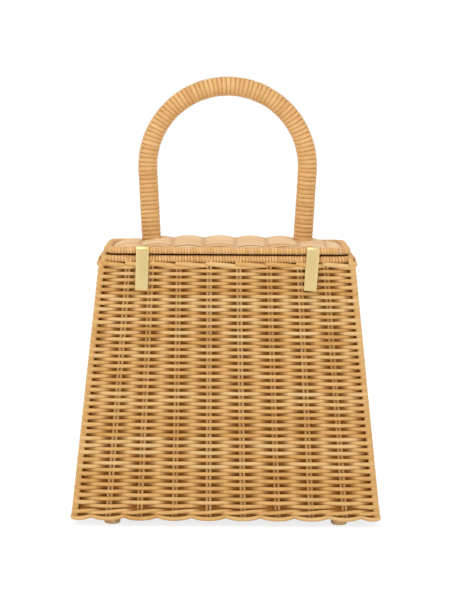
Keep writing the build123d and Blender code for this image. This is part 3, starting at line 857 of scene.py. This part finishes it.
nickel = metal_material("nickel_plate", NICKEL_TONES, NICKEL_STRETCH, gloss=0.2)
depth = EYE_INNER_RADIUS - LEAF_CLEARANCE - MAGNET_SIZE[2] / 2
for name, (x, skew) in CLASP_PLACES.items():
    rod = Vector((x, -lid_rod_half.y, lid_rod_height))
    skewed = Matrix.Rotation(math.radians(-skew), 3, leaf_out)
    place = Matrix((skewed @ ACROSS, skewed @ -leaf_down, leaf_out)).transposed().to_4x4()
    place.translation = rod + leaf_out * depth + skewed @ leaf_down * MAGNET_DROP
    magnet = block(MAGNET_SIZE, MAGNET_ROUNDING, place)
    piece("magnet_" + name, [magnet], nickel, "basket", "magnet_steel", "catch_magnet_" + name)

# Hinge: four turns of flat cane round both rear rods, side by side, at two places. They tie the lid to the
# basket, and its rod turns in them.
LOOP_TURNS = 4
LOOP_TURN_WIDTH = 2.2
LOOP_RADIUS = 3.35
LOOP_STEPS = 8
LOOP_FLATNESS = 0.5
LOOP_TINTS = (0.3, 0.8)
for name in ("left", "right"):
    low, high = node_box("hinge_loop_" + name)
    turns = []
    for turn in range(LOOP_TURNS):
        x = (low.x + high.x) / 2 + LOOP_TURN_WIDTH * (turn - (LOOP_TURNS - 1) / 2)
        points, outs = [], []
        for height, start in ((lid_rod_height, 0), (basket_rod_height, math.pi)):
            for step in range(LOOP_STEPS + 1):
                angle = start + math.pi * step / LOOP_STEPS
                out = Vector((0, math.cos(angle), math.sin(angle)))
                points.append(Vector((x, lid_rod_half.y, height)) + out * LOOP_RADIUS)
                outs.append(out)
        tint = chance.uniform(*LOOP_TINTS)
        turns.append(cane(points, outs, LOOP_TURN_WIDTH / 2, tint, 0, closed=True, flat=LOOP_FLATNESS))
    piece("hinge_turns_" + name, turns, binding, "basket", "cane_binding", "hinge_loop_" + name)

# Rails: a planed batten under the lid below each foot of the handle, held by a countersunk screw that goes up
# into the pole. The head of the screw has a cross recess.
RAIL_ROUNDING = 1.4
HEAD_RADIUS = 3.5
HEAD_DEPTH = 2.0
HEAD_PROUD = 0.05
RECESS_HALF_WIDTH = 0.4
RECESS_HALF_LENGTH = 2.0
RECESS_DEPTH = 1.0
FACING_DOWN = -0.9
ZINC_TONES = ((0.42, 0.42, 0.43), (0.56, 0.56, 0.56))
ZINC_STRETCH = (700, 700, 700)
steel = metal_material("zinc_screw", ZINC_TONES, ZINC_STRETCH, gloss=0.3)
for name in ("left", "right"):
    low, high = node_box("lid_rail_" + name)
    middle = (low + high) / 2
    rail = block(high - low, RAIL_ROUNDING, Matrix.Translation(middle))
    piece("rail_" + name, [rail], wood, "lid", "rattan_pole", "lid_rail_" + name)
    screw = bmesh.new()
    bmesh.ops.create_cone(
        screw, cap_ends=True, segments=24, radius1=HEAD_RADIUS, radius2=HEAD_RADIUS / 2, depth=HEAD_DEPTH,
    )
    for normal in (ACROSS, BACK):
        for cut in (-RECESS_HALF_LENGTH, -RECESS_HALF_WIDTH, RECESS_HALF_WIDTH, RECESS_HALF_LENGTH):
            everything = screw.verts[:] + screw.edges[:] + screw.faces[:]
            bmesh.ops.bisect_plane(screw, geom=everything, plane_co=normal * cut, plane_no=normal)
    recess = []
    for face in screw.faces:
        wide, long = sorted((abs(face.calc_center_median().x), abs(face.calc_center_median().y)))
        if face.normal.z < FACING_DOWN and wide < RECESS_HALF_WIDTH and long < RECESS_HALF_LENGTH:
            recess.append(face)
    sunk = bmesh.ops.extrude_face_region(screw, geom=recess)["geom"]
    bmesh.ops.delete(screw, geom=recess, context="FACES")
    sunk_corners = [item for item in sunk if isinstance(item, bmesh.types.BMVert)]
    bmesh.ops.translate(screw, vec=UP * RECESS_DEPTH, verts=sunk_corners)
    bmesh.ops.translate(screw, vec=(middle.x, 0, low.z + HEAD_DEPTH / 2 - HEAD_PROUD), verts=screw.verts)
    head = piece("screw_" + name, [screw], steel, "lid", "screw_steel", "handle_screw_" + name)
    head.data.shade_flat()

# Stage: a white floor in a white room, with one large soft lamp above the front and a low one at each side.
# The floor keeps the shadow of the bag and shows almost white besides. Lengths from here on are in metres.
FLOOR_REACH = 6.0
FLOOR_GLOW = 1.15
GLOW_SHARE = 0.7
LAMP_SIZE = 1.2
LAMPS = (
    ("key", (-0.3, -0.9, 1.5), 7.0),
    ("left_side", (-1.5, -1.2, 0.25), 7.5),
    ("right_side", (1.5, -1.2, 0.25), 7.5),
)
LAMP_AIM = Vector((0, 0, 0.1))
floor_plane = bmesh.new()
bmesh.ops.create_grid(floor_plane, x_segments=1, y_segments=1, size=FLOOR_REACH)
floor_mesh = bpy.data.meshes.new("floor")
floor_plane.to_mesh(floor_mesh)
floor_plane.free()
white, tree = new_material("floor_white")
tree.nodes.remove(tree.nodes["Principled BSDF"])
dull = tree.nodes.new("ShaderNodeBsdfDiffuse")
dull.inputs["Color"].default_value = (0.9, 0.9, 0.9, 1)
glow = tree.nodes.new("ShaderNodeEmission")
glow.inputs["Strength"].default_value = FLOOR_GLOW
rays = tree.nodes.new("ShaderNodeLightPath")
looks = rays.outputs["Is Camera Ray"]
for kind in ("Is Glossy Ray", "Is Transmission Ray"):
    larger = tree.nodes.new("ShaderNodeMath")
    larger.operation = "MAXIMUM"
    tree.links.new(looks, larger.inputs[0])
    tree.links.new(rays.outputs[kind], larger.inputs[1])
    looks = larger.outputs["Value"]
glowing = tree.nodes.new("ShaderNodeMath")
glowing.operation = "MULTIPLY"
glowing.inputs[1].default_value = GLOW_SHARE
tree.links.new(looks, glowing.inputs[0])
seen = tree.nodes.new("ShaderNodeMixShader")
tree.links.new(glowing.outputs["Value"], seen.inputs["Fac"])
tree.links.new(dull.outputs["BSDF"], seen.inputs[1])
tree.links.new(glow.outputs["Emission"], seen.inputs[2])
tree.links.new(seen.outputs["Shader"], tree.nodes["Material Output"].inputs["Surface"])
floor_mesh.materials.append(white)
floor_object = bpy.data.objects.new("floor", floor_mesh)
bpy.context.scene.collection.objects.link(floor_object)
world = bpy.data.worlds.new("white_room")
world.use_nodes = True
sky = world.node_tree.nodes["Background"]
sky.inputs["Color"].default_value = (1, 1, 1, 1)
sky.inputs["Strength"].default_value = 1.0
bpy.context.scene.world = world
for name, place, power in LAMPS:
    light = bpy.data.lights.new(name, "AREA")
    light.size = LAMP_SIZE
    light.energy = power
    lamp = bpy.data.objects.new(name, light)
    lamp.location = place
    lamp.rotation_euler = (LAMP_AIM - Vector(place)).to_track_quat("-Z", "Y").to_euler()
    bpy.context.scene.collection.objects.link(lamp)

# Camera: straight before the bag, at the height of the top of the handle, and looking a little down on it.
# Its frame leans by a third of a degree, as the photograph's does.
CAMERA_PLACE = (-0.00134, -1.6, 0.3157)
CAMERA_DIP = math.radians(5.688)
CAMERA_ROLL = math.radians(-0.326)
CAMERA_TURN = math.radians(0.032)
camera = bpy.data.cameras.new("camera")
camera.sensor_width = 36
camera.lens = 132.7
camera.clip_end = 50
eye = bpy.data.objects.new("camera", camera)
eye.location = CAMERA_PLACE
eye.rotation_euler = (math.pi / 2 - CAMERA_DIP, CAMERA_ROLL, CAMERA_TURN)
bpy.context.scene.collection.objects.link(eye)
bpy.context.scene.camera = eye
bpy.context.scene.view_settings.view_transform = "Standard"
